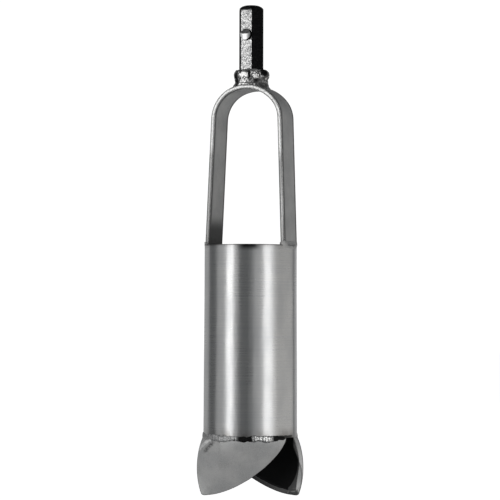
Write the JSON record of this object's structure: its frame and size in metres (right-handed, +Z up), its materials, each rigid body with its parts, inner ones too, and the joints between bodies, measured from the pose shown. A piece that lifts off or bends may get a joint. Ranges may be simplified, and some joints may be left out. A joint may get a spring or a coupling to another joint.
{
  "type": "soil auger head",
  "caption": "Hand soil auger head: open stainless barrel with curved cutters below, flat strap bail above, and a hexagonal quick-connect shank with a sprung lock button.",
  "frame": {"origin": "centre of the hexagonal shank's upper end face", "axes": "+Z up along the auger's axis towards the rod; the bail's legs stand at +X and -X and the lock button looks along -Y"},
  "size_m": [0.0746, 0.0742, 0.3779],
  "materials": {
    "shank_steel": "dark plated steel with a grainy blasted surface",
    "button_steel": "turned steel",
    "spring_steel": "spring wire",
    "weld_metal": "lumpy weld bead with heat marks",
    "strap_steel": "matte blasted steel",
    "stainless": "brushed round the barrel",
    "cutter_steel": "matte blasted steel",
    "hardfacing": "rough wear-resistant deposit"
  },
  "bodies": {
    "root": {"hex_shank": "shank_steel", "button_pin": "button_steel", "button_spring": "spring_steel", "shank_weld": "weld_metal", "bail_strap": "strap_steel", "bail_weld_right": "weld_metal", "bail_weld_left": "weld_metal", "barrel_tube": "stainless", "barrel_seam": "weld_metal", "cutter_front": "cutter_steel", "cutter_rear": "cutter_steel", "cutter_weld_front": "weld_metal", "cutter_weld_rear": "weld_metal", "corner_weld_front": "weld_metal", "corner_weld_rear": "weld_metal", "hardfacing_front": "hardfacing", "hardfacing_rear": "hardfacing"},
    "button": {"lock_button": "button_steel"}
  },
  "joints": [
    {"name": "button_press", "type": "slide", "parent": "root", "child": "button", "axis": [0, 1, 0], "range_m": [0, 0.0028], "stiffness_N_per_m": 1500, "springref_m": -0.002, "deforming": ["button_spring"]}
  ]
}
